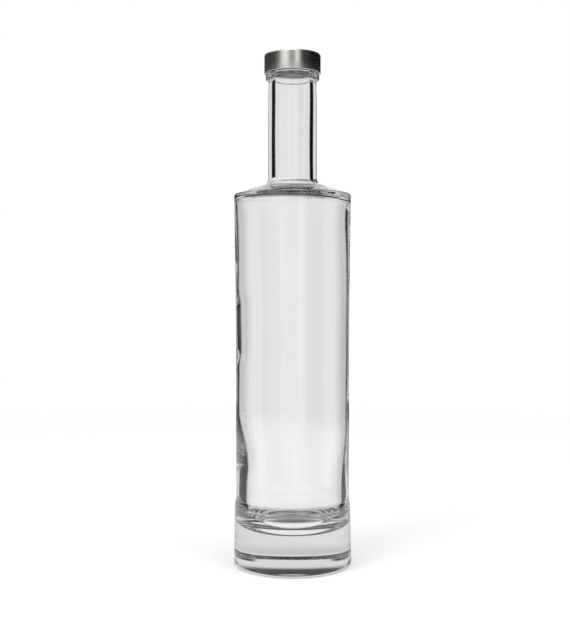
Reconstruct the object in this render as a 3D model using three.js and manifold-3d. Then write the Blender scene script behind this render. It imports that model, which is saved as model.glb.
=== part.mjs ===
// Tall round bottle of clear glass with a low metal-clad screw cap, in millimetres.
// +Z points up. The origin is the middle of the foot ring, on the surface the bottle stands on.
// The glass is one blown piece. The cap is a drawn metal shell over a moulded threaded insert,
// with a soft sealing disc inside that seats on the lip.
import * as THREE from "three";
import { mergeVertices } from "three/addons/utils/BufferGeometryUtils.js";
import Module from "manifold-3d";

const wasm = await Module();
wasm.setup();

// Facets
const SEGMENTS = 48; // round the axis
const ROUND_STEPS = 4; // along a small rounded corner
const SWEEP_STEPS = 6; // along a large curve
const THREAD_STEPS_PER_TURN = 32;

// Glass outside, from the foot ring up to the shoulder
const BODY_RADIUS = 31.65; // the long recessed panel of the side
const HEEL_PROUD = 1.25; // how far the heel stands out from the panel
const HEEL_ROUND = 2.7;
const FOOT_WIDTH = 3.8; // flat ring that the bottle stands on
const PUSH_UP = 2.2; // hollow under the base, at its middle
const BAND_PROUD = 0.65; // top of the base band
const BAND_HEIGHT = 33.5;
const BAND_STEP = 3.5; // height over which the band steps in to the panel
const SHOULDER_PROUD = 1.05;
const SHOULDER_HEIGHT = 206;
const FLARE_LENGTH = 86; // part of the side that widens towards the shoulder
const FLARE_POWER = 1.5; // how late the flare opens
const SHOULDER_SLOPE = 18.9; // degrees above level
const SHOULDER_ROUND = 2;

// Neck, transfer bead and finish
const NECK_RADIUS = 13.65;
const NECK_LENGTH = 57.4; // shoulder to bead
const NECK_ROUND = 4; // root of the neck
const NECK_WAIST = 0.3; // how much the neck narrows under the bead
const WAIST_LENGTH = 11;
const BEAD_PROUD = 1.35;
const BEAD_HEIGHT = 3.4;
const BEAD_ROUND = 0.8;
const FINISH_RADIUS = 12.5; // root of the thread
const FINISH_HEIGHT = 8.95; // bead to lip
const LIP_ROUND = 0.7;
const BORE_RADIUS = 9.5;

// Glass inside
const WALL = 2.3; // side wall
const BASE_WALL = 4.6; // side wall where it thickens near the base
const THICKENING_TOP = 92; // height where the wall starts to thicken
const THICKENING_BOTTOM = 46;
const THICKENING_ROUND = 60;
const FLOOR_THICKNESS = 20.5;
const FLOOR_RISE = 1.2; // dome of the inner floor
const FLOOR_ROUND = 13;
const SHOULDER_WALL = 2.8;
const INNER_SHOULDER_ROUND = 4;
const BORE_ROUND = 5; // where the bore opens into the body

// Screw thread, right-handed
const PITCH = 4.233;
const THREAD_DEPTH = 1.1;
const THREAD_FOOT = 2.3; // width of the glass ridge at its root
const THREAD_CREST = 0.9;
const THREAD_START = 2.2; // lip down to the middle of the first turn
const THREAD_RISE = 5.3; // height that the glass ridge climbs
const RIDGE_FOOT = 1.5; // the insert's narrower ridge
const RIDGE_CREST = 0.8;
const RIDGE_RISE = 4.4;
const THREAD_GAP = 0.35; // running clearance, radial and on the flank
const THREAD_SINK = 0.4; // how deep a ridge is rooted in its wall
const THREAD_FADE = 0.12; // part of the ridge's length over which each end fades

// Cap
const LINER_THICKNESS = 1;
const LINER_GAP = 0.35; // round the liner's edge
const INSERT_TOP = 0.9;
const INSERT_WALL = 1.4; // outside the thread groove
const INSERT_ROUND = 0.9;
const SHELL_SEAT = 0.1; // radial seat between insert and shell
const SHELL_WALL = 0.35;
const SHELL_ROUND = 1.1;
const CURL_REACH = 0.7; // how far the shell's lower edge turns in under the insert
const CURL_ROUND = 0.45;
const CAP_HEIGHT = 10.9;

// Radii and heights that follow from the sizes above
const slope = Math.tan(THREE.MathUtils.degToRad(SHOULDER_SLOPE));
const heelRadius = BODY_RADIUS + HEEL_PROUD;
const shoulderRadius = BODY_RADIUS + SHOULDER_PROUD;
const neckRoot = SHOULDER_HEIGHT + (shoulderRadius - NECK_RADIUS) * slope;
const beadBottom = neckRoot + NECK_LENGTH;
const beadTop = beadBottom + BEAD_HEIGHT;
const lip = beadTop + FINISH_HEIGHT;
const threadRadius = FINISH_RADIUS + THREAD_DEPTH;
const grooveRadius = threadRadius + THREAD_GAP;
const insertRadius = grooveRadius + INSERT_WALL;
const shellInner = insertRadius + SHELL_SEAT;
const shellRadius = shellInner + SHELL_WALL;
const linerTop = lip + LINER_THICKNESS;
const insertTop = linerTop + INSERT_TOP;
const capTop = insertTop + SHELL_WALL;
const capBottom = capTop - CAP_HEIGHT;
const insertBottom = capBottom + SHELL_WALL;

// An outline from corners { r, z, round, steps }. A corner with a round becomes an arc tangent to
// both of its sides, no larger than the sides have room for.
function outline(corners) {
  const at = (corner) => new THREE.Vector2(corner.r, corner.z);
  return corners.flatMap((corner, i) => {
    if (!corner.round) return [at(corner)];
    const tip = at(corner);
    const before = at(corners[i - 1]).sub(tip);
    const after = at(corners[i + 1]).sub(tip);
    const half = Math.abs(before.angleTo(after)) / 2;
    const room = 0.49 * Math.min(before.length(), after.length());
    const radius = Math.min(corner.round, room * Math.tan(half));
    const first = before.normalize();
    const last = after.normalize();
    const centre = first.clone().add(last).setLength(radius / Math.sin(half)).add(tip);
    const start = first.clone().multiplyScalar(radius / Math.tan(half)).add(tip).sub(centre);
    const turn = Math.sign(first.cross(start)) * (Math.PI - 2 * half);
    const steps = corner.steps ?? ROUND_STEPS;
    return Array.from({ length: steps + 1 }, (_, k) =>
      start.clone().rotateAround(new THREE.Vector2(), (turn * k) / steps).add(centre),
    );
  });
}

// A round piece from an outline that starts and ends on the axis, turned so that its axis is Z.
function revolve(corners) {
  return new THREE.LatheGeometry(outline(corners), SEGMENTS).rotateX(Math.PI / 2);
}

// Corners along the curve r(t), z(t) for t from 0 to 1.
function curve(steps, point) {
  return Array.from({ length: steps + 1 }, (_, k) => point(k / steps));
}

function toSolid(geometry) {
  const bare = geometry.index ? geometry.toNonIndexed() : geometry.clone();
  bare.deleteAttribute("normal");
  bare.deleteAttribute("uv");
  const merged = mergeVertices(bare, 1e-4);
  return new wasm.Manifold(
    new wasm.Mesh({
      numProp: 3,
      vertProperties: merged.getAttribute("position").array,
      triVerts: new Uint32Array(merged.index.array),
    }),
  );
}

function toGeometry(solid) {
  const mesh = solid.getMesh();
  return new THREE.BufferGeometry()
    .setAttribute("position", new THREE.BufferAttribute(mesh.vertProperties, 3))
    .setIndex(new THREE.BufferAttribute(mesh.triVerts, 1));
}

// A thread ridge between two heights: a straight prism of the ridge's section, bent round the axis
// along the screw's lead. The ridge passes angle 0 at height lead, and stands out from the radius
// root to the radius crest, which is the smaller one for a ridge inside a bore. Its ends fade into
// the wall.
function threadRidge({ root, crest, foot, tip, from, to, lead }) {
  const outward = Math.sign(crest - root);
  const depth = Math.abs(crest - root);
  const section = new THREE.Shape([
    new THREE.Vector2(-foot / 2, -THREAD_SINK),
    new THREE.Vector2(foot / 2, -THREAD_SINK),
    new THREE.Vector2(foot / 2, 0),
    new THREE.Vector2(tip / 2, depth),
    new THREE.Vector2(-tip / 2, depth),
    new THREE.Vector2(-foot / 2, 0),
  ]);
  const steps = Math.ceil(((to - from) / PITCH) * THREAD_STEPS_PER_TURN);
  const ridge = new THREE.ExtrudeGeometry(section, { depth: 1, steps, bevelEnabled: false });
  const position = ridge.getAttribute("position");
  for (let i = 0; i < position.count; i++) {
    const along = position.getZ(i);
    const out = position.getY(i);
    const fade = THREE.MathUtils.smoothstep(Math.min(along, 1 - along), 0, THREAD_FADE);
    const rise = out > 0 ? fade * out : out;
    const sunk = (1 - fade) * THREAD_SINK * (out < 0 ? 0 : 0.5);
    const radius = root + outward * (rise - sunk);
    const height = from + (to - from) * along;
    const angle = (2 * Math.PI * (height - lead)) / PITCH;
    const z = height + outward * position.getX(i);
    position.setXYZ(i, radius * Math.cos(angle), radius * Math.sin(angle), z);
  }
  return ridge;
}

// The one-piece glass bottle: foot ring and push-up, base band, panel, flared side, sloping
// shoulder, neck, transfer bead, threaded finish, bore and thick-bottomed hollow.
function glassBottle() {
  const footOuter = heelRadius - HEEL_ROUND;
  const footInner = footOuter - FOOT_WIDTH;
  const flareBottom = SHOULDER_HEIGHT - FLARE_LENGTH;
  const beadRadius = NECK_RADIUS + BEAD_PROUD;
  const shoulderDrop = SHOULDER_WALL / Math.cos(THREE.MathUtils.degToRad(SHOULDER_SLOPE));
  const underShoulder = (r) => SHOULDER_HEIGHT + (shoulderRadius - r) * slope - shoulderDrop;
  const innerShoulder = shoulderRadius - WALL;
  const innerPanel = BODY_RADIUS - WALL;
  const innerBase = BODY_RADIUS - BASE_WALL;

  const underside = curve(SWEEP_STEPS, (t) => ({
    r: footInner * t,
    z: PUSH_UP * (1 - t * t),
  }));
  const side = [
    { r: heelRadius, z: 0, round: HEEL_ROUND },
    { r: BODY_RADIUS + BAND_PROUD, z: BAND_HEIGHT },
    { r: BODY_RADIUS, z: BAND_HEIGHT + BAND_STEP },
    ...curve(SWEEP_STEPS, (t) => ({
      r: BODY_RADIUS + SHOULDER_PROUD * t ** FLARE_POWER,
      z: flareBottom + (FLARE_LENGTH - SHOULDER_ROUND) * t,
    })),
    { r: shoulderRadius, z: SHOULDER_HEIGHT, round: SHOULDER_ROUND },
  ];
  const neck = [
    { r: NECK_RADIUS, z: neckRoot, round: NECK_ROUND },
    { r: NECK_RADIUS, z: beadBottom - WAIST_LENGTH },
    { r: NECK_RADIUS - NECK_WAIST, z: beadBottom },
    { r: beadRadius, z: beadBottom, round: BEAD_ROUND },
    { r: beadRadius, z: beadTop, round: BEAD_ROUND },
    { r: FINISH_RADIUS, z: beadTop },
    { r: FINISH_RADIUS, z: lip, round: LIP_ROUND },
    { r: BORE_RADIUS, z: lip, round: LIP_ROUND },
  ];
  const hollow = [
    { r: BORE_RADIUS, z: underShoulder(BORE_RADIUS), round: BORE_ROUND },
    { r: innerShoulder, z: underShoulder(innerShoulder), round: INNER_SHOULDER_ROUND },
    { r: innerPanel, z: flareBottom },
    { r: innerPanel, z: THICKENING_TOP, round: THICKENING_ROUND },
    { r: innerBase, z: THICKENING_BOTTOM, round: THICKENING_ROUND },
    { r: innerBase, z: FLOOR_THICKNESS, round: FLOOR_ROUND, steps: SWEEP_STEPS },
    { r: 0, z: FLOOR_THICKNESS + FLOOR_RISE },
  ];
  const blank = revolve([...underside, ...side, ...neck, ...hollow]);
  const top = lip - THREAD_START;
  const thread = threadRidge({
    root: FINISH_RADIUS,
    crest: threadRadius,
    foot: THREAD_FOOT,
    tip: THREAD_CREST,
    from: top - THREAD_RISE,
    to: top,
    lead: top,
  });
  return toGeometry(toSolid(blank).add(toSolid(thread)));
}

// The moulded insert: a cup whose inner ridge sits under the glass ridge and draws the cap down.
function capInsert() {
  const cup = revolve([
    { r: 0, z: linerTop },
    { r: grooveRadius, z: linerTop },
    { r: grooveRadius, z: insertBottom },
    { r: insertRadius, z: insertBottom },
    { r: insertRadius, z: insertTop, round: INSERT_ROUND },
    { r: 0, z: insertTop },
  ]);
  const crest = FINISH_RADIUS + THREAD_GAP;
  const reach = threadRadius - crest;
  const flank = (THREAD_FOOT - THREAD_CREST) / 2 / THREAD_DEPTH;
  const below = THREAD_CREST / 2 + flank * reach + RIDGE_CREST / 2 + THREAD_GAP;
  const ridgeBottom = insertBottom + RIDGE_FOOT / 2;
  const ridge = threadRidge({
    root: grooveRadius,
    crest,
    foot: RIDGE_FOOT,
    tip: RIDGE_CREST,
    from: ridgeBottom,
    to: ridgeBottom + RIDGE_RISE,
    lead: lip - THREAD_START - below,
  });
  return toGeometry(toSolid(cup).add(toSolid(ridge)));
}

// The drawn metal shell over the insert, its lower edge curled in to hold the insert up.
function capShell() {
  return revolve([
    { r: 0, z: insertTop },
    { r: shellInner, z: insertTop, round: SHELL_ROUND - SHELL_WALL },
    { r: shellInner, z: insertBottom },
    { r: shellInner - CURL_REACH, z: insertBottom },
    { r: shellInner - CURL_REACH, z: capBottom },
    { r: shellRadius, z: capBottom, round: CURL_ROUND },
    { r: shellRadius, z: capTop, round: SHELL_ROUND },
    { r: 0, z: capTop },
  ]);
}

// The soft sealing disc between the lip and the insert.
function capLiner() {
  const radius = grooveRadius - LINER_GAP;
  return revolve([
    { r: 0, z: lip },
    { r: radius, z: lip },
    { r: radius, z: linerTop },
    { r: 0, z: linerTop },
  ]);
}

function piece(name, geometry, look) {
  const mesh = new THREE.Mesh(geometry, new THREE.MeshStandardMaterial(look));
  mesh.name = name;
  return mesh;
}

const group = new THREE.Group();
group.add(
  piece("glass_bottle", glassBottle(), {
    color: 0xe9eeee,
    roughness: 0.05,
    metalness: 0,
    transparent: true,
    opacity: 0.35,
  }),
  piece("cap_shell", capShell(), { color: 0xb9b8b4, roughness: 0.3, metalness: 1 }),
  piece("cap_insert", capInsert(), { color: 0xe4e4e0, roughness: 0.5, metalness: 0 }),
  piece("cap_liner", capLiner(), { color: 0xf2f2ee, roughness: 0.8, metalness: 0 }),
);

export default group;
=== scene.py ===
# %% [markdown]
# # A clear glass bottle with a low metal screw cap
# The real bottle is one blown piece of glass, closed by a satin aluminium cap that hides a moulded
# insert and a soft sealing disc. Each of them is a body of revolution, so all four are made here
# as fine surfaces worked out with numpy round the Z axis, in metres. A lathe modifier or a spun
# curve could make them too, but a formula lets the glass be uneven in the way blown glass is.

# %% Load the fixed frame
import math

import bpy
import numpy as np
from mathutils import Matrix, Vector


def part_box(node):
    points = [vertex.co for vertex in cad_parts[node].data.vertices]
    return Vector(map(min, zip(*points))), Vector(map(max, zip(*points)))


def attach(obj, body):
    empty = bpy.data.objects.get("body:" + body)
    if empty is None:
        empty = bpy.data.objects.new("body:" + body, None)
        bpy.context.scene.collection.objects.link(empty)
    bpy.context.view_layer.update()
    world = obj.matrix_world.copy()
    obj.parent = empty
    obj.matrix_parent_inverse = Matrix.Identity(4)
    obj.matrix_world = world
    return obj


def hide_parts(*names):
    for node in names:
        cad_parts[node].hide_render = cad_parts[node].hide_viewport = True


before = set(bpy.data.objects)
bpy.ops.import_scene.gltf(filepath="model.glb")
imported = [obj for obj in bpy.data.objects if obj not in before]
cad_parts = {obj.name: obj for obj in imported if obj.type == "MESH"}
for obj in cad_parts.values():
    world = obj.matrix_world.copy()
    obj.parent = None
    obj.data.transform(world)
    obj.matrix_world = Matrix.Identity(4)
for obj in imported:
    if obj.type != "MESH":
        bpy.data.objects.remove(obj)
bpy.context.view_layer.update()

# %% [markdown]
# ## Outlines with rounded corners
# A turned or blown piece has no sharp edges. An outline is therefore written as a few corners, each
# with the radius of its round, and a helper turns every corner into an arc tangent to both sides.
# Long straight stretches get extra points, because the glass is made slightly wavy along them.

# %% A helper for outlines
ARC_POINTS = 9
LONGEST_STEP = 0.0026


def arc(before, corner, after, radius):
    """The arc of that radius tangent to the lines corner-before and corner-after.

    Its centre lies on the corner's bisector, radius / sin(half angle) away, and the radius is
    limited to what the shorter side has room for.
    """
    a, b = np.subtract(before, corner), np.subtract(after, corner)
    room = 0.49 * min(np.linalg.norm(a), np.linalg.norm(b))
    a, b = a / np.linalg.norm(a), b / np.linalg.norm(b)
    half = math.acos(float(np.clip(a @ b, -1, 1))) / 2
    radius = min(radius, room * math.tan(half))
    centre = corner + (a + b) / np.linalg.norm(a + b) * radius / math.sin(half)
    start = corner + a * radius / math.tan(half) - centre
    sense = np.sign(a[0] * start[1] - a[1] * start[0])
    turn = np.linspace(0, sense * (math.pi - 2 * half), ARC_POINTS)
    x = start[0] * np.cos(turn) - start[1] * np.sin(turn)
    y = start[0] * np.sin(turn) + start[1] * np.cos(turn)
    return np.column_stack([x, y]) + centre


def outline(corners):
    """Points (radius, height) along corners (r, z) or (r, z, round), with long stretches divided."""
    points = []
    for i, (r, z, *rest) in enumerate(corners):
        here = np.array([r, z])
        if rest:
            points.append(arc(corners[i - 1][:2], here, corners[i + 1][:2], rest[0]))
        else:
            points.append(here[None, :])
    points = np.vstack(points)
    steps = np.linalg.norm(np.diff(points, axis=0), axis=1)
    parts = np.maximum(1, np.ceil(steps / LONGEST_STEP)).astype(int)
    start = np.repeat(np.arange(len(parts)), parts)
    share = (np.arange(parts.sum()) - np.repeat(np.cumsum(parts) - parts, parts)) / parts[start]
    dense = points[start] + share[:, None] * np.diff(points, axis=0)[start]
    return np.vstack([dense, points[-1:]])


# %% [markdown]
# ## From an outline to a closed surface
# The surface is a grid: one row for each outline point, one column for each angle. The first and
# the last outline point lie on the axis, so each of those rows is a single vertex, a pole. A shaping
# function may move the grid before the mesh is made, which is how threads and waves are added.

# %% A helper for surfaces of revolution
def lathe(name, points, columns, shaped=None):
    """x = r cos(a), y = r sin(a), z = height, for a from 0 to a full turn in that many columns.

    shaped(a, r, z) gives the radius and height at each grid point; without it both are the
    outline's own. The outline starts and ends on the axis and runs with the outside on its right.
    """
    angle = np.arange(columns) * 2 * math.pi / columns
    a, r = np.meshgrid(angle, points[1:-1, 0])
    z = np.repeat(points[1:-1, 1:], columns, axis=1)
    if shaped:
        r, z = shaped(a, r, z)
    rings = np.stack([r * np.cos(a), r * np.sin(a), z], axis=-1).reshape(-1, 3)
    poles = np.array([[0, 0, points[0, 1]], [0, 0, points[-1, 1]]])
    rows = len(points) - 2
    i, j = np.meshgrid(np.arange(rows - 1), np.arange(columns), indexing="ij")
    k = (j + 1) % columns
    quads = np.stack([i * columns + j, i * columns + k, (i + 1) * columns + k, (i + 1) * columns + j])
    quads = quads.reshape(4, -1).T
    first, last = rows * columns, rows * columns + 1
    near = np.arange(columns)
    far = (near + 1) % columns
    top = (rows - 1) * columns
    fans = np.vstack([
        np.column_stack([np.full(columns, first), far, near]),
        np.column_stack([top + near, top + far, np.full(columns, last)]),
    ])
    loops = np.concatenate([quads.ravel(), fans.ravel()])
    starts = np.concatenate([
        np.arange(len(quads)) * 4,
        len(quads) * 4 + np.arange(len(fans)) * 3,
    ])
    mesh = bpy.data.meshes.new(name)
    mesh.vertices.add(len(rings) + 2)
    mesh.vertices.foreach_set("co", np.vstack([rings, poles]).ravel().astype(np.float32))
    mesh.loops.add(len(loops))
    mesh.loops.foreach_set("vertex_index", loops.astype(np.int32))
    mesh.polygons.add(len(starts))
    mesh.polygons.foreach_set("loop_start", starts.astype(np.int32))
    mesh.polygons.foreach_set("use_smooth", np.ones(len(starts), dtype=bool))
    mesh.update(calc_edges=True)
    piece = bpy.data.objects.new(name, mesh)
    bpy.context.scene.collection.objects.link(piece)
    print(name, len(points), "outline points,", 2 * len(quads) + len(fans), "triangles")
    return piece


def smooth(x, low, high):
    """0 below low, 1 above high, and an S-curve 3t2 - 2t3 in between."""
    t = np.clip((x - low) / (high - low), 0, 1)
    return t * t * (3 - 2 * t)


# %% [markdown]
# ## Sizes
# The frame gives the heights and widths of the pieces. The sizes below are those that a frame box
# doesn't tell: the panel that a label would sit on, the shoulder's slope, the walls and the thread.

# %% The sizes
GLASS_LOW, GLASS_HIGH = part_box("glass_bottle")
SHELL_LOW, SHELL_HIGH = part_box("cap_shell")
INSERT_LOW, INSERT_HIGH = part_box("cap_insert")
LINER_LOW, LINER_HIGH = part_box("cap_liner")

BODY_RADIUS = 0.03165
HEEL_RADIUS = GLASS_HIGH[0] - 0.00003
HEEL_ROUND = 0.0027
FOOT_WIDTH = 0.0038
PUSH_UP = 0.0022
BAND_RADIUS = 0.0323
BAND_HEIGHT = 0.0335
BAND_STEP = 0.0035
SHOULDER_RADIUS = 0.0327
SHOULDER_HEIGHT = 0.206
FLARE_LENGTH = 0.086
FLARE_POWER = 1.5
SHOULDER_SLOPE = math.tan(math.radians(18.9))
SHOULDER_ROUND = 0.002
NECK_RADIUS = 0.01365
NECK_ROUND = 0.004
NECK_WAIST = 0.0003
WAIST_LENGTH = 0.011
BEAD_RADIUS = 0.015
BEAD_HEIGHT = 0.0034
FINISH_RADIUS = 0.0125
FINISH_HEIGHT = 0.00895
BORE_RADIUS = 0.0095
LIP = GLASS_HIGH[2]
BEAD_TOP = LIP - FINISH_HEIGHT
BEAD_BOTTOM = BEAD_TOP - BEAD_HEIGHT
NECK_ROOT = SHOULDER_HEIGHT + (SHOULDER_RADIUS - NECK_RADIUS) * SHOULDER_SLOPE

WALL = 0.0016
FLOOR_THICKNESS = 0.0193
FLOOR_RISE = 0.0012
SHOULDER_WALL = 0.0024
INNER_FLATTENING = 0.12
INNER_NECK_ROUND = 0.008
INNER_SHOULDER_ROUND = 0.0035
INNER_SIDE_ROUND = 0.1
FLOOR_ROUND = 0.013

PITCH = 0.004233
THREAD_DEPTH = 0.0011
THREAD_FOOT = 0.0023
THREAD_START = 0.0022
THREAD_RISE = 0.0053
print("lip at", round(LIP, 5), "neck root at", round(NECK_ROOT, 5))

# %% [markdown]
# ## The glass bottle
# One closed surface holds the outside, the lip and the hollow, because light has to enter and leave
# real walls for the dark lines at the edges to appear by themselves. Two separate shells would need
# tricks at the lip. The outline runs from under the base, up the side, over the lip and down inside.


# %% The outline of the glass
def under_shoulder(r):
    """Height of the shoulder's inner face at radius r.

    A cone one wall below the outer one at the side, with a slope that is less by INNER_FLATTENING.
    """
    drop = SHOULDER_WALL * math.hypot(1, SHOULDER_SLOPE)
    return SHOULDER_HEIGHT + (SHOULDER_RADIUS - r) * (SHOULDER_SLOPE - INNER_FLATTENING) - drop


foot_outer = HEEL_RADIUS - HEEL_ROUND
foot_inner = foot_outer - FOOT_WIDTH
flare_bottom = SHOULDER_HEIGHT - FLARE_LENGTH
t = np.linspace(0, 1, 13)
underside = np.column_stack([foot_inner * t, PUSH_UP * (1 - t * t)])
flare = np.column_stack([
    BODY_RADIUS + (SHOULDER_RADIUS - BODY_RADIUS) * t ** FLARE_POWER,
    flare_bottom + (FLARE_LENGTH - SHOULDER_ROUND) * t,
])
outside = [
    *underside.tolist(),
    (foot_inner + FOOT_WIDTH / 3, 0),
    (foot_inner + FOOT_WIDTH * 2 / 3, 0),
    (HEEL_RADIUS, 0, HEEL_ROUND),
    (BAND_RADIUS, BAND_HEIGHT, 0.004),
    (BODY_RADIUS, BAND_HEIGHT + BAND_STEP, 0.004),
    *flare.tolist(),
    (SHOULDER_RADIUS, SHOULDER_HEIGHT, SHOULDER_ROUND),
    (NECK_RADIUS, NECK_ROOT, NECK_ROUND),
    (NECK_RADIUS, BEAD_BOTTOM - WAIST_LENGTH, 0.02),
    (NECK_RADIUS - NECK_WAIST, BEAD_BOTTOM, 0.0004),
    (BEAD_RADIUS, BEAD_BOTTOM, 0.0009),
    (BEAD_RADIUS, BEAD_TOP, 0.0008),
    (FINISH_RADIUS, BEAD_TOP, 0.0004),
    (FINISH_RADIUS, LIP, 0.0007),
]
inside = [
    (BORE_RADIUS, LIP, 0.0007),
    (BORE_RADIUS, under_shoulder(BORE_RADIUS), INNER_NECK_ROUND),
    (SHOULDER_RADIUS - WALL, under_shoulder(SHOULDER_RADIUS - WALL), INNER_SHOULDER_ROUND),
    (BODY_RADIUS - WALL, flare_bottom, INNER_SIDE_ROUND),
    (BODY_RADIUS - WALL, FLOOR_THICKNESS, FLOOR_ROUND),
    (0, FLOOR_THICKNESS + FLOOR_RISE),
]
glass_outline = outline(outside + inside)

# %% [markdown]
# ## Uneven blown glass
# The outside takes the mould's shape, but the inside is free: air pressed the hot glass outwards, so
# the wall is thicker where it was cooler. Here it is thicker low down on the left, and the hollow
# has slow waves and a shoulder that leans a little. Outside, the finish carries the screw thread, a
# ridge that follows one helix, and the foot ring has fine bars, which keep a hot bottle from
# sticking to the conveyor. A noise could roughen the wall too, but it couldn't be aimed at one side.

# %% The shape of the thread, the foot and the inner wall
FOOT_BARS = 80
FOOT_BAR_DEPTH = 0.00015
WAVE = 0.00006
NECK_WAVE = 0.0001
SHOULDER_TILT = 0.0006
LEFT_EXTRA = 0.0002
LEFT_SWELLING = 0.0008
LEFT_BASE = 0.0035
RIGHT_BASE = 0.0029
RIGHT_TOP = 0.001
lip_row = int(np.argmax(glass_outline[:, 1]))


def thickening(a, z):
    """Glass that the inner wall has beyond WALL: one amount for each side, mixed by cos(a).

    The right side (a = 0) thickens towards the base and a little towards the shoulder. The left
    side (a = half a turn) has a swelling at mid height and a heavier base, as where glass sagged.
    """
    swelling = smooth(z, 0.112, 0.12) * (1 - smooth(z, 0.142, 0.152))
    left = LEFT_EXTRA + LEFT_SWELLING * swelling + LEFT_BASE * (1 - smooth(z, 0.05, 0.085))
    right = RIGHT_BASE * (1 - smooth(z, 0.038, 0.075)) + RIGHT_TOP * smooth(z, 0.14, 0.195)
    share = 0.5 - 0.5 * np.cos(a)
    return (left * share + right * (1 - share)) * (1 - smooth(z, 0.196, 0.203))


def ridge(angle, z, lead, low, high, foot, depth):
    """Height of a helical ridge: depth within foot/4 of the helix, sloping to 0 at foot/2.

    The helix passes angle 0 at the height lead and climbs one pitch a turn. The ridge stands
    between the heights low and high of its middle line and fades over its ends.
    """
    middle = lead + PITCH * angle / (2 * math.pi)
    turns = np.round((z - middle) / PITCH)
    middle = middle + turns * PITCH
    bell = 1 - smooth(np.abs(z - middle), foot * 0.16, foot * 0.5)
    fade = (high - low) * 0.12
    ends = smooth(middle, low, low + fade) * (1 - smooth(middle, high - fade, high))
    return depth * bell * ends


def shape_glass(a, r, z):
    """The outline's radius and height, moved by the thread, the foot's bars and the inner wall.

    The thread adds to the finish's radius and the bars lift the foot ring. Inside, the thickening
    and the waves take from the radius, and the shoulder's height falls with cos(a) to the right.
    """
    row = np.arange(1, len(glass_outline) - 1)[:, None]
    hollow = row > lip_row
    finish = ~hollow & (z > BEAD_TOP + 0.0004)
    top = LIP - THREAD_START
    thread = ridge(a, z, top, top - THREAD_RISE, top, THREAD_FOOT, THREAD_DEPTH)
    foot = ~hollow & (z < 1e-6) & (r > foot_inner + 0.0001) & (r < foot_outer - 0.0001)
    bars = FOOT_BAR_DEPTH * (0.5 - 0.5 * np.cos(FOOT_BARS * a))
    side = hollow & (z < 0.2)
    body = smooth(z, FLOOR_THICKNESS + 0.004, 0.04) * (1 - smooth(z, 0.188, 0.2))
    waves = WAVE * (np.cos(3 * a + z * 60) + 0.7 * np.cos(5 * a - z * 95 + 1.2))
    inner = r / (BODY_RADIUS - WALL) * (thickening(a, z) + body * waves)
    neck = hollow & (r < BORE_RADIUS * 1.5) & (z < LIP - 0.004)
    neck_waves = NECK_WAVE * np.cos(2 * a + 0.6) + WAVE * np.cos(a + z * 120)
    under = hollow & (z > 0.185) & (z < 0.23)
    tilt = smooth(z, 0.188, 0.2) * (1 - smooth(z, 0.214, 0.226)) * SHOULDER_TILT * np.cos(a)
    r = r + finish * thread - side * inner + neck * neck_waves
    return r, z + foot * bars - under * tilt


# %% [markdown]
# ## The bottle itself
# The grid is finer round the axis than the outline needs. Smooth shading evens out the normals, but
# not the places where light meets the wall, so a coarse grid would show in what the glass bends.

# %% Make the bottle
bottle = lathe("blown_glass_bottle", glass_outline, 320, shape_glass)
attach(bottle, "bottle")
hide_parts("glass_bottle")

# %% [markdown]
# ## The cap's shell
# The aluminium shell is drawn from sheet: a thin cup with a small round at the top and its cut edge
# turned in below, so that it holds the insert. A plain disc with a bevel would look alike from
# above, but not from below when the cap is off, so the real section is followed.

# %% The aluminium shell
SHEET = 0.00035
SHELL_RADIUS = SHELL_HIGH[0] - 0.00001
SHELL_ROUND = 0.0011
CURL_REACH = 0.00105
shell = lathe("cap_aluminium_shell", outline([
    (0, SHELL_HIGH[2] - SHEET),
    (SHELL_RADIUS - SHEET, SHELL_HIGH[2] - SHEET, SHELL_ROUND - SHEET),
    (SHELL_RADIUS - SHEET, INSERT_LOW[2]),
    (SHELL_RADIUS - CURL_REACH, INSERT_LOW[2], 0.0001),
    (SHELL_RADIUS - CURL_REACH, SHELL_LOW[2], 0.00015),
    (SHELL_RADIUS, SHELL_LOW[2], 0.00045),
    (SHELL_RADIUS, SHELL_HIGH[2], SHELL_ROUND),
    (0, SHELL_HIGH[2]),
]), 256)
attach(shell, "cap")
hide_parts("cap_shell")

# %% [markdown]
# ## The insert and the sealing disc
# The insert is moulded plastic with the mating thread, and the sealing disc is pressed foam. They
# sit where the frame has them, so the cap can unscrew in a pose. The insert's ridge follows the
# same helix as the glass, lowered to the underside of the glass ridge, where a closed cap pulls.

# %% The threaded insert and the sealing disc
GROOVE_RADIUS = FINISH_RADIUS + THREAD_DEPTH + 0.00035
RIDGE_DEPTH = 0.0011
RIDGE_FOOT = 0.0015
RIDGE_BELOW = 0.00168
RIDGE_RISE = 0.0044
INSERT_RADIUS = INSERT_HIGH[0]
insert_outline = outline([
    (0, LINER_HIGH[2]),
    (GROOVE_RADIUS, LINER_HIGH[2], 0.0002),
    (GROOVE_RADIUS, INSERT_LOW[2], 0.0003),
    (INSERT_RADIUS, INSERT_LOW[2], 0.0002),
    (INSERT_RADIUS, INSERT_HIGH[2], 0.0009),
    (0, INSERT_HIGH[2]),
])


def shape_insert(a, r, z):
    """The insert's outline, with a ridge that stands inwards from the groove wall."""
    inner = np.abs(r - GROOVE_RADIUS) < 0.00005
    low = INSERT_LOW[2] + RIDGE_FOOT / 2
    lead = LIP - THREAD_START - RIDGE_BELOW
    stands = ridge(a, z, lead, low, low + RIDGE_RISE, RIDGE_FOOT, RIDGE_DEPTH)
    return r - inner * stands, z


insert = lathe("cap_threaded_insert", insert_outline, 192, shape_insert)
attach(insert, "cap")
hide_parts("cap_insert")
liner = lathe("cap_sealing_disc", outline([
    (0, LINER_LOW[2]),
    (LINER_HIGH[0], LINER_LOW[2], 0.0002),
    (LINER_HIGH[0], LINER_HIGH[2], 0.0002),
    (0, LINER_HIGH[2]),
]), 128)
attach(liner, "liner")
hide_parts("cap_liner")

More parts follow.
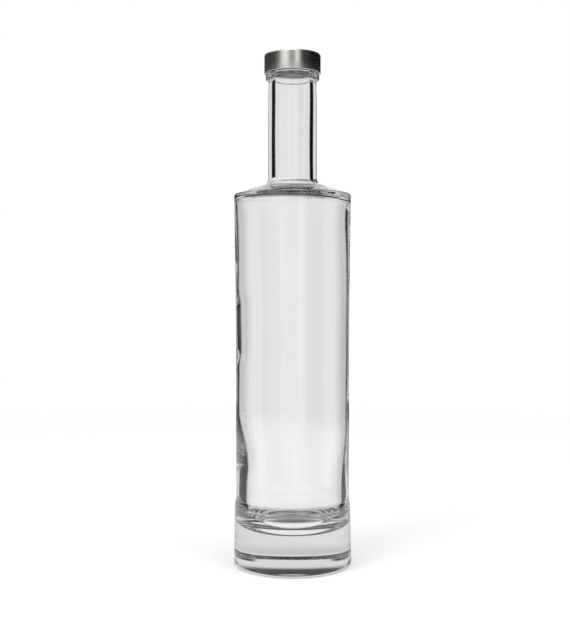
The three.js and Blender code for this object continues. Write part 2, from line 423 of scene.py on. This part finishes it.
# %% [markdown]
# ## Node helpers
# A material is a small graph, and a lot of it is arithmetic. The helpers below write that
# arithmetic in one line each, for the materials and for the room, where it would take pages.

# %% Helpers for materials and their arithmetic
class Nodes:
    """One node tree, with short ways to add nodes, sums, products and ramps to it."""

    def __init__(self, tree):
        self.tree = tree

    def add(self, kind, **inputs):
        """A node of that kind with the named inputs set."""
        node = self.tree.nodes.new(kind)
        for key, value in inputs.items():
            node.inputs[key].default_value = value
        return node

    def feed(self, socket, value):
        """Sets a socket to a number or links another node's output to it."""
        if isinstance(value, (int, float)):
            socket.default_value = value
        else:
            self.tree.links.new(value, socket)

    def calc(self, operation, *values):
        """A Math node: each value is a number or another node's output."""
        node = self.tree.nodes.new("ShaderNodeMath")
        node.operation = operation
        for socket, value in zip(node.inputs, values):
            self.feed(socket, value)
        return node.outputs[0]

    def plus(self, first, *others):
        """The sum of all values."""
        for value in others:
            first = self.calc("ADD", first, value)
        return first

    def times(self, first, *others):
        """The product of all values."""
        for value in others:
            first = self.calc("MULTIPLY", first, value)
        return first

    def largest(self, first, *others):
        """The largest of all values."""
        for value in others:
            first = self.calc("MAXIMUM", first, value)
        return first

    def rest_of(self, value):
        """One minus the value."""
        return self.calc("SUBTRACT", 1.0, value)

    def ramp(self, value, low, high, start=0.0, end=1.0, kind="SMOOTHSTEP"):
        """The value's way from low to high, turned into a way from start to end, and held there."""
        node = self.tree.nodes.new("ShaderNodeMapRange")
        node.interpolation_type = kind
        for key, number in (("From Min", low), ("From Max", high), ("To Min", start), ("To Max", end)):
            node.inputs[key].default_value = number
        self.tree.links.new(value, node.inputs["Value"])
        return node.outputs["Result"]

    def panel(self, angle, centre, half, edge, strength):
        """A bright upright panel centred at that angle in radians, with sides 2 x edge soft."""
        off = self.calc("ABSOLUTE", self.calc("SUBTRACT", angle, centre))
        return self.ramp(off, half - edge, half + edge, strength, 0.0)


def new_material(name):
    """An empty node material: the material, its Principled shader and its nodes."""
    material = bpy.data.materials.new(name)
    material.use_nodes = True
    return material, material.node_tree.nodes["Principled BSDF"], Nodes(material.node_tree)


def fine_bump(nodes, skin, height, strength, distance):
    """Lets a height pattern tilt the shader's normal."""
    bump = nodes.add("ShaderNodeBump", Strength=strength, Distance=distance)
    nodes.tree.links.new(height, bump.inputs["Height"])
    nodes.tree.links.new(bump.outputs["Normal"], skin.inputs["Normal"])


def two_tones(nodes, skin, pattern, dark, light):
    """Lets a pattern of 0 to 1 run the base colour from dark to light."""
    tone = nodes.add("ShaderNodeValToRGB")
    tone.color_ramp.elements[0].color = dark
    tone.color_ramp.elements[1].color = light
    nodes.tree.links.new(pattern, tone.inputs["Fac"])
    nodes.tree.links.new(tone.outputs["Color"], skin.inputs["Base Color"])


def dress(piece, material):
    """Gives the piece its one material."""
    piece.data.materials.clear()
    piece.data.materials.append(material)
    print(piece.name, "wears", material.name)


# %% [markdown]
# ## Clear glass
# The glass is a plain refractive surface with the index of bottle glass. Its look comes from its
# real walls, from a ripple too slight to feel and from a little absorption, which greys the thick
# base. Painted dark edges would be quicker, but they would be right from one side only.

# %% Clear glass
GLASS_INDEX = 1.52
GLASS_TINT = (0.985, 0.99, 0.988, 1)
RIPPLE_SCALE = 70.0
RIPPLE_STRENGTH = 0.02
RIPPLE_DEPTH = 0.0005
ABSORPTION = 6.8
glass, skin, nodes = new_material("clear_glass")
skin.inputs["Base Color"].default_value = GLASS_TINT
skin.inputs["Roughness"].default_value = 0.0
skin.inputs["IOR"].default_value = GLASS_INDEX
skin.inputs["Transmission Weight"].default_value = 1.0
place = nodes.add("ShaderNodeTexCoord")
ripple = nodes.add("ShaderNodeTexNoise", Scale=RIPPLE_SCALE, Detail=1.0)
nodes.tree.links.new(place.outputs["Object"], ripple.inputs["Vector"])
fine_bump(nodes, skin, ripple.outputs["Fac"], RIPPLE_STRENGTH, RIPPLE_DEPTH)
absorb = nodes.add("ShaderNodeVolumeAbsorption", Color=(0.5, 0.5, 0.5, 1), Density=ABSORPTION)
nodes.tree.links.new(absorb.outputs["Volume"], nodes.tree.nodes["Material Output"].inputs["Volume"])
dress(bottle, glass)

# %% [markdown]
# ## Satin aluminium
# A spun finish leaves fine lines round the cap, so the noise is squeezed along the axis until it is
# lines. They vary the colour, the roughness and the height a little. The metal is anisotropic,
# because such lines draw each highlight out along the axis. It is a little duller low down, where
# the photograph's light bands are softer.

# %% Satin aluminium
LINE_SQUEEZE = 60.0
LINE_SCALE = 160.0
SMOOTHEST, ROUGHEST = 0.18, 0.26
DULL_FROM = 0.005
DULLNESS = 0.12
metal, skin, nodes = new_material("satin_aluminium")
skin.inputs["Metallic"].default_value = 1.0
skin.inputs["Anisotropic"].default_value = 0.4
place = nodes.add("ShaderNodeTexCoord")
squeeze = nodes.add("ShaderNodeMapping", Scale=(1.0, 1.0, LINE_SQUEEZE))
lines = nodes.add("ShaderNodeTexNoise", Scale=LINE_SCALE, Detail=3.0, Roughness=0.6)
spot = nodes.add("ShaderNodeSeparateXYZ")
nodes.tree.links.new(place.outputs["Object"], squeeze.inputs["Vector"])
nodes.tree.links.new(squeeze.outputs["Vector"], lines.inputs["Vector"])
nodes.tree.links.new(place.outputs["Object"], spot.inputs[0])
two_tones(nodes, skin, lines.outputs["Fac"], (0.60, 0.60, 0.565, 1), (0.72, 0.72, 0.685, 1))
grain = nodes.ramp(lines.outputs["Fac"], 0.0, 1.0, SMOOTHEST, ROUGHEST, "LINEAR")
dull = nodes.ramp(spot.outputs["Z"], SHELL_HIGH[2] - DULL_FROM, SHELL_LOW[2], 0.0, DULLNESS)
nodes.feed(skin.inputs["Roughness"], nodes.plus(grain, dull))
fine_bump(nodes, skin, lines.outputs["Fac"], 0.05, 0.00005)
dress(shell, metal)

# %% [markdown]
# ## Moulded plastic and foam
# Both are plain matt materials with a speckle in colour and height. The foam's is finer and
# stronger than the plastic's. They show only through the glass or when the cap is off.


# %% Moulded plastic and foam
def speckled(name, dark, light, rough, scale, strength, distance):
    """A matt material whose colour and height follow a fine noise."""
    material, skin, nodes = new_material(name)
    skin.inputs["Roughness"].default_value = rough
    place = nodes.add("ShaderNodeTexCoord")
    noise = nodes.add("ShaderNodeTexNoise", Scale=scale, Detail=4.0)
    nodes.tree.links.new(place.outputs["Object"], noise.inputs["Vector"])
    two_tones(nodes, skin, noise.outputs["Fac"], dark, light)
    fine_bump(nodes, skin, noise.outputs["Fac"], strength, distance)
    return material


dress(insert, speckled(
    "insert_plastic", (0.74, 0.75, 0.73, 1), (0.80, 0.81, 0.79, 1), 0.45, 900.0, 0.1, 0.00005))
dress(liner, speckled(
    "liner_foam", (0.80, 0.80, 0.78, 1), (0.90, 0.90, 0.88, 1), 0.85, 2500.0, 0.4, 0.0001))

# %% [markdown]
# ## The floor
# A pale disc keeps a soft shadow, and its rim fades into the white background. It glows a little for
# the camera, to come near that white. Under the foot it glows more: a painted pool of light that
# stands in for the light the bottle blocks there, so that the floor seen through the thick base stays
# light. For light that was reflected inside the glass it ends close by, so that such light goes on
# into the room. A plain disc with no glow would be truer, but its grey would show in the thick base.

# %% The floor
FLOOR_RADIUS = 0.34
FLOOR_FADE = 0.46
RIM_POINTS = 96
CAMERA_GLOW = 0.2
FOOT_GLOW = 0.8
FOOT_GLOW_RADIUS = 0.025
FOOT_GLOW_END = 0.027
NEAR_FLOOR = 0.06
NEAR_FLOOR_END = 0.1


def pale_floor():
    """A flat disc of that many rim points, out to where its material has faded."""
    angle = np.arange(RIM_POINTS) * 2 * math.pi / RIM_POINTS
    reach = FLOOR_RADIUS + FLOOR_FADE
    rim = np.column_stack([reach * np.cos(angle), reach * np.sin(angle), np.zeros(RIM_POINTS)])
    mesh = bpy.data.meshes.new("floor")
    mesh.from_pydata(rim.tolist(), [], [list(range(RIM_POINTS))])
    floor = bpy.data.objects.new("floor", mesh)
    bpy.context.scene.collection.objects.link(floor)
    return floor


floor = pale_floor()
paper, skin, nodes = new_material("floor_paper")
skin.inputs["Base Color"].default_value = (0.9, 0.9, 0.9, 1)
skin.inputs["Roughness"].default_value = 1.0
skin.inputs["Specular IOR Level"].default_value = 0.0
skin.inputs["Emission Color"].default_value = (1, 1, 1, 1)
light_path = nodes.add("ShaderNodeLightPath")
place = nodes.add("ShaderNodeTexCoord")
length = nodes.add("ShaderNodeVectorMath")
length.operation = "LENGTH"
nodes.tree.links.new(place.outputs["Object"], length.inputs[0])
away = length.outputs["Value"]
reflected = nodes.calc("GREATER_THAN", light_path.outputs["Glossy Depth"], 0.5)
entered = nodes.calc("GREATER_THAN", light_path.outputs["Transmission Depth"], 0.5)
rim_fade = nodes.ramp(away, FLOOR_RADIUS, FLOOR_RADIUS + FLOOR_FADE)
near_fade = nodes.ramp(away, NEAR_FLOOR, NEAR_FLOOR_END, kind="LINEAR")
gone = nodes.largest(rim_fade, nodes.times(reflected, entered, near_fade))
# Painted light: the floor glows under the foot, where the bottle blocks real light, so the base looks
# lit from below.
painted_glow_under_foot = nodes.ramp(away, FOOT_GLOW_END, FOOT_GLOW_RADIUS, kind="LINEAR")
glow = nodes.plus(nodes.times(painted_glow_under_foot, FOOT_GLOW),
                  nodes.times(light_path.outputs["Is Camera Ray"], CAMERA_GLOW))
nodes.feed(skin.inputs["Emission Strength"], glow)
clear = nodes.add("ShaderNodeBsdfTransparent")
mix = nodes.add("ShaderNodeMixShader")
nodes.feed(mix.inputs["Fac"], gone)
nodes.tree.links.new(skin.outputs["BSDF"], mix.inputs[1])
nodes.tree.links.new(clear.outputs["BSDF"], mix.inputs[2])
nodes.tree.links.new(mix.outputs["Shader"], nodes.tree.nodes["Material Output"].inputs["Surface"])
dress(floor, paper)

# %% [markdown]
# ## The room
# The world is one shader whose brightness depends on the direction and on the kind of ray that asks.
# The background is white to the camera and near white straight through the glass. A ray reflected
# inside a wall leaves sideways, where a studio is dark between its white walls, and that draws the
# black lines in the glass. A real room can't tell kinds of ray apart. Built walls and lamps would be
# truer, but the few angles below are easier to fit to a photograph. They are fixed in the room, not
# to the camera.

# %% The direction and kind of a ray
DEG = math.pi / 180
world = bpy.data.worlds.new("studio")
bpy.context.scene.world = world
world.use_nodes = True
room = Nodes(world.node_tree)
light_path = room.add("ShaderNodeLightPath")
place = room.add("ShaderNodeTexCoord")
direction = room.add("ShaderNodeSeparateXYZ")
room.tree.links.new(place.outputs["Generated"], direction.inputs[0])
x, y, z = direction.outputs
from_front = room.calc("ARCTAN2", x, room.times(y, -1.0))
from_back = room.calc("ABSOLUTE", room.calc("ARCTAN2", x, y))
from_y = room.calc("MINIMUM", from_back, room.calc("SUBTRACT", math.pi, from_back))
from_x = room.calc("SUBTRACT", math.pi / 2, from_y)
on_left = room.calc("LESS_THAN", x, 0.0)
reflections = light_path.outputs["Glossy Depth"]
has_reflected = room.calc("GREATER_THAN", reflections, 0.5)
has_entered = room.calc("GREATER_THAN", light_path.outputs["Transmission Depth"], 0.5)
inside = room.times(has_reflected, has_entered)
mirror = room.calc("SUBTRACT", has_reflected, inside)
through = room.calc("SUBTRACT", has_entered, inside)
plain = room.calc("SUBTRACT", room.rest_of(inside), room.plus(mirror, through))
print("kinds of ray: inside, mirror, through, plain")

# %% [markdown]
# ## Light reflected inside the glass
# Rays reflected once make the dark lines where they leave between about 28 and 70 degrees off the
# Y axis, so the room is dark there and bright outside it. Rays reflected twice find it bright, and
# those reflected more often find it dark only close to that axis. Any of them that climbs steeply
# meets a dark ceiling, which blackens the heel. All limits were found by comparing renders with the
# photograph.

# %% Light reflected inside the glass
GLASS_WHITE = 0.85
SECTOR = 28 * DEG
SECTOR_LEFT_LESS = 4 * DEG
SECTOR_LEFT_RISE = 0.65
SECTOR_EDGE = 5 * DEG
SIDE_SECTOR, SIDE_SECTOR_END = 18 * DEG, 24 * DEG
LIFTED, LIFTED_END = 11 * DEG, 15 * DEG
FRONT_LIGHT = 0.3
CEILING, CEILING_END = 0.42, 0.56
CEILING_DARK = 0.03
AXIS_DARK, AXIS_DARK_END = 22 * DEG, 34 * DEG
AXIS_LIGHT = 0.1
left_rise = room.times(z, room.times(on_left, SECTOR_LEFT_RISE))
sector = room.plus(left_rise, room.calc("SUBTRACT", SECTOR, room.times(on_left, SECTOR_LEFT_LESS)))
near_y = room.ramp(room.calc("SUBTRACT", from_y, sector), -SECTOR_EDGE, SECTOR_EDGE, 1.0, 0.0)
near_x = room.ramp(from_x, SIDE_SECTOR, SIDE_SECTOR_END, 1.0, 0.0)
lifted = room.ramp(z, math.sin(LIFTED), math.sin(LIFTED_END))
in_front = room.ramp(y, -0.1, 0.1, FRONT_LIGHT, 0.0)
once = room.calc("LESS_THAN", reflections, 1.5)
often = room.calc("GREATER_THAN", reflections, 2.5)
first = room.largest(near_y, near_x, lifted, in_front)
off_axis = room.ramp(from_y, AXIS_DARK, AXIS_DARK_END, AXIS_LIGHT, 1.0)
later = room.plus(room.rest_of(often), room.times(often, off_axis))
inside_light = room.plus(room.times(once, first), room.times(room.rest_of(once), later))
ceiling = room.ramp(z, CEILING, CEILING_END, 1.0, CEILING_DARK)
inside_light = room.times(inside_light, ceiling, GLASS_WHITE)
print("dark from", round(SECTOR / DEG), "to", round(90 - SIDE_SECTOR / DEG), "degrees off the axis")

# %% [markdown]
# ## Light mirrored by the metal
# The cap is a small curved mirror: what it shows at a place depends on the angle there. Two bright
# panels beside the camera give its two light bands, and a weaker glow the left side's gradient. A
# panel behind lights its edges, the room to the right is black, and a light above catches the
# rounded top edge. Seen from high above, that light makes the flat top white.

# %% Light mirrored by the metal
left_panel = room.panel(from_front, -33 * DEG, 15.5 * DEG, 12 * DEG, 0.95)
right_panel = room.panel(from_front, 19 * DEG, 8.7 * DEG, 6 * DEG, 0.95)
back_panel = room.ramp(from_back, 6 * DEG, 16 * DEG, 0.9, 0.0)
between = room.ramp(room.calc("ABSOLUTE", from_front), 20 * DEG, 42 * DEG, 0.22, 0.0)
left_glow = room.panel(from_front, -33 * DEG, 36 * DEG, 16 * DEG, 0.12)
dim = room.plus(room.ramp(from_front, -20 * DEG, 40 * DEG, 0.05, 0.03), left_glow)
dim = room.times(dim, room.ramp(from_front, 66 * DEG, 78 * DEG, 1.0, 0.02))
above = room.times(room.ramp(z, 0.35, 0.7, 0.0, 0.9), room.ramp(x, 0.2, 0.45, 1.0, 0.05))
mirrored = room.plus(left_panel, right_panel, back_panel, between, dim, above)
print("panels at -33 and 19 degrees from the camera")

# %% [markdown]
# ## The whole room
# The four kinds of ray are added up, each with its own light. Only one of them is 1 for any ray, so
# the sum picks one. FILL is the light that falls on matt surfaces such as the floor.

# %% The whole room
FILL = 0.75
from_camera = light_path.outputs["Is Camera Ray"]
open_light = room.plus(from_camera, room.times(room.rest_of(from_camera), FILL))
total = room.plus(
    room.times(inside, inside_light),
    room.times(mirror, mirrored),
    room.times(through, GLASS_WHITE),
    room.times(plain, open_light),
)
background = room.tree.nodes["Background"]
room.tree.links.new(total, background.inputs["Strength"])
background.inputs["Color"].default_value = (1, 1, 1, 1)
print("the room has", len(room.tree.nodes), "nodes")

# %% [markdown]
# ## Two soft lamps
# They give the floor its soft shadow. Large lamps make soft edges, and they are hidden from
# reflections and from the glass, where the room above already stands for the studio's lights.


# %% Two soft lamps
def soft_lamp(name, place, size, power):
    """A square area lamp that faces the middle of the bottle and shows in nothing."""
    lamp = bpy.data.lights.new(name, "AREA")
    lamp.size = size
    lamp.energy = power
    holder = bpy.data.objects.new(name, lamp)
    bpy.context.scene.collection.objects.link(holder)
    holder.location = place
    aim = np.array([0, 0, 0.14]) - np.array(place)
    flat = math.hypot(aim[0], aim[1])
    holder.rotation_euler = (math.atan2(flat, -aim[2]), 0, math.atan2(-aim[0], aim[1]))
    holder.visible_camera = False
    holder.visible_glossy = False
    holder.visible_transmission = False
    print(name, power, "W at", place)


soft_lamp("left_lamp", (-0.5, -0.5, 0.8), 0.5, 3.0)
soft_lamp("right_lamp", (0.5, -0.4, 0.7), 0.5, 1.5)

# %% [markdown]
# ## Camera
# The photograph fits a level camera about 56 cm away, with the horizon a little above the middle.
# A level camera keeps the sides of the bottle upright. Its small downward shift stands for the crop.
# Light stays trapped in a glass wall for many reflections, so the limits on bounces are high: with
# the usual ones black patches come up in the shoulder.

# %% The camera
IMAGE_WIDTH, IMAGE_HEIGHT = 570, 630
FOCAL_PIXELS = 1000
HORIZON_PIXEL = 292
AXIS_PIXEL = 292.5
DISTANCE = 0.5608
EYE_HEIGHT = 0.1516
lens = bpy.data.cameras.new("camera")
lens.sensor_width = 36
lens.lens = lens.sensor_width * FOCAL_PIXELS / IMAGE_HEIGHT
lens.shift_y = (HORIZON_PIXEL - IMAGE_HEIGHT / 2) / IMAGE_HEIGHT
lens.clip_start = 0.01
camera = bpy.data.objects.new("camera", lens)
bpy.context.scene.collection.objects.link(camera)
side_step = (AXIS_PIXEL - IMAGE_WIDTH / 2) / FOCAL_PIXELS * DISTANCE
camera.location = (-side_step, -DISTANCE, EYE_HEIGHT)
camera.rotation_euler = (math.pi / 2, 0, 0)
bpy.context.scene.camera = camera
bpy.context.scene.view_settings.view_transform = "Standard"
bpy.context.scene.cycles.max_bounces = 64
bpy.context.scene.cycles.glossy_bounces = 48
bpy.context.scene.cycles.transmission_bounces = 24
print("focal length", round(lens.lens, 2), "mm")
